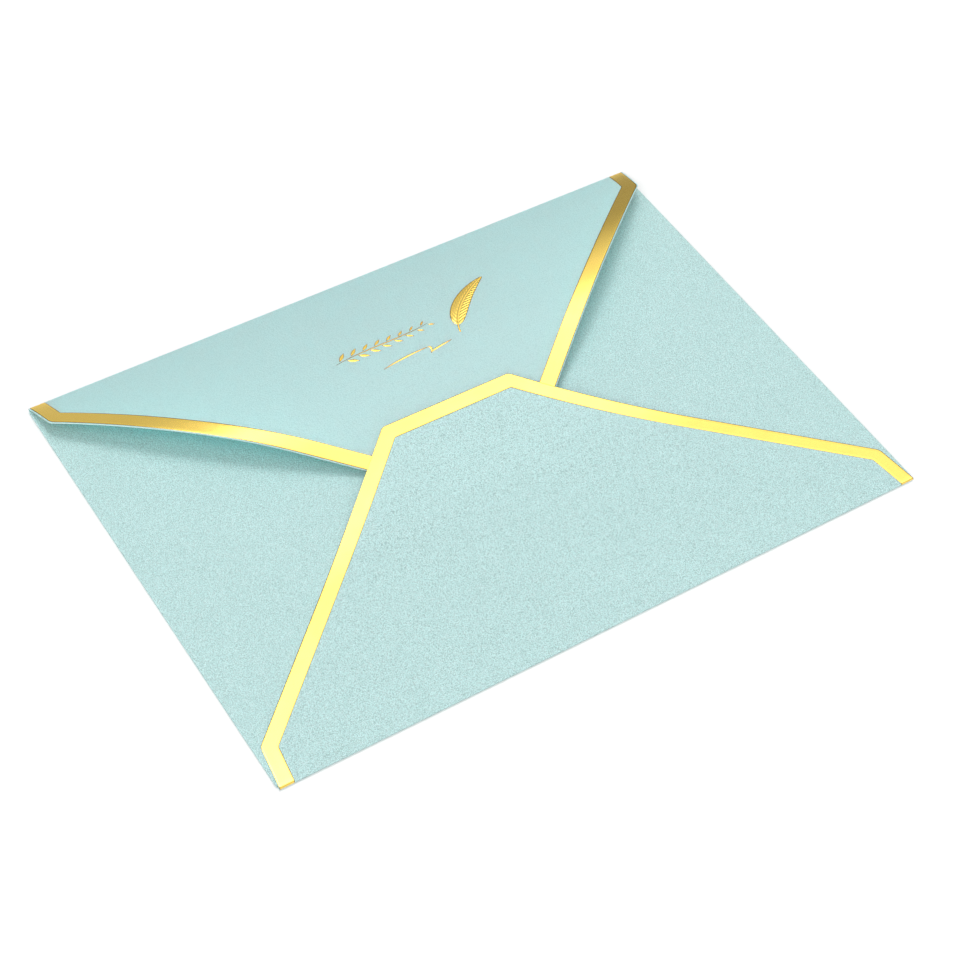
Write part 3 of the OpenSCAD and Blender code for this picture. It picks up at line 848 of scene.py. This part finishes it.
# A dim wall below the box, darker on its right
WALL_AT, WALL_SIDE_FADE, WALL_LEFT, WALL_RIGHT = direction(62, 15), (0.72, 0.88), 0.62, 0.35
WALL_TOP, WALL_FADE, WALL_MIDDLE_FADE = (0.417, -0.733, 0.535), (-0.12, 0.17), (0.27, 0.45)
# Dark sides, with the middle and the space behind the camera left bright
SIDES, LEFT_FADE, RIGHT_FADE, FRONT_FADE = 0.15, (-0.12, 0.13), (0.63, 0.88), (-0.5, 0.0)
# A small key light from above the far side, and a low fill from the left
KEY_AT, KEY_CONE, KEY = direction(90, 65), cone(14, 8), 6.0
FILL_AT, FILL_FADE, FILL = direction(205, 35), (0.7, 0.95), 2.0
# A white backdrop all round, from below up to a little over the horizon
BACKDROP_FADE = (0.05, 0.1)


def world():
    scene_world = bpy.data.worlds.new("studio")
    bpy.context.scene.world = scene_world
    scene_world.use_nodes = True
    nodes, links = scene_world.node_tree.nodes, scene_world.node_tree.links
    where = add(nodes, "ShaderNodeTexCoord")

    def towards(vector):
        node = add(nodes, "ShaderNodeVectorMath", {1: vector}, operation="DOT_PRODUCT")
        links.new(where.outputs["Generated"], node.inputs[0])
        return node.outputs["Value"]

    def fade(value, limits, low, high):
        return map_range(nodes, links, value, *limits, low, high, True)

    def join_values(operation, a, b):
        return combine(nodes, links, operation, a, b)

    near_box, across, up = towards(BOX_AT), towards(RIGHT), towards(UP)
    room = fade(near_box, CEILING_FADE, ROOM, CEILING)
    box = fade(near_box, BOX_CONE, 0, BOX_EXTRA)
    box = join_values("MULTIPLY", box, fade(up, BOX_LOW_FADE, 0, 1))
    box = join_values("MULTIPLY", box, fade(up, BOX_TOP, 1, BOX_DIM))
    above_wall = map_range(nodes, links, towards(WALL_TOP), *WALL_FADE, 0, 1)
    beside_wall = fade(towards(WALL_AT), WALL_SIDE_FADE, 1, 0)
    level = add(nodes, "ShaderNodeMix", data_type="FLOAT")
    links.new(join_values("MAXIMUM", above_wall, beside_wall), level.inputs["Factor"])
    links.new(fade(across, WALL_MIDDLE_FADE, WALL_LEFT, WALL_RIGHT), level.inputs["A"])
    links.new(join_values("ADD", room, box), level.inputs["B"])
    middle = join_values("MULTIPLY", fade(across, LEFT_FADE, 0, 1), fade(across, RIGHT_FADE, 1, 0))
    kept = join_values("MAXIMUM", middle, fade(towards(FAR), FRONT_FADE, 1, 0))
    kept = map_range(nodes, links, kept, 0, 1, SIDES, 1)
    total = join_values("MULTIPLY", level.outputs["Result"], kept)
    total = join_values("ADD", total, fade(towards(KEY_AT), KEY_CONE, 0, KEY))
    total = join_values("ADD", total, fade(towards(FILL_AT), FILL_FADE, 0, FILL))
    # The camera, reflections and passed light see the backdrop, and the object gets no more light
    backdrop = join_values("MULTIPLY", seen_light(nodes, links), fade(up, BACKDROP_FADE, 1, 0))
    shown = add(nodes, "ShaderNodeMix", {"B": 1.0}, data_type="FLOAT")
    links.new(backdrop, shown.inputs["Factor"])
    links.new(total, shown.inputs["A"])
    nodes["Background"].inputs["Color"].default_value = WHITE
    links.new(shown.outputs["Result"], nodes["Background"].inputs["Strength"])


floor()
world()

# Camera at the photograph's angle, as the photo's corners gave it
CAMERA_AXES = (
    (0.84509, -0.53221, 0.05075),
    (0.37917, 0.66357, 0.64490),
    (-0.37690, -0.52576, 0.76258),
)
CAMERA_AT = (-0.20887, -0.29629, 0.41478)
SENSOR_W, LENS, CLIP = 36.0, 85.39, (0.01, 50.0)
camera_data = bpy.data.cameras.new("camera")
camera_data.sensor_width, camera_data.lens = SENSOR_W, LENS
camera_data.clip_start, camera_data.clip_end = CLIP
camera = bpy.data.objects.new("camera", camera_data)
bpy.context.scene.collection.objects.link(camera)
camera.matrix_world = Matrix.Translation(CAMERA_AT) @ Matrix(CAMERA_AXES).transposed().to_4x4()
bpy.context.scene.camera = camera
bpy.context.scene.view_settings.view_transform = "Standard"

bpy.context.view_layer.update()
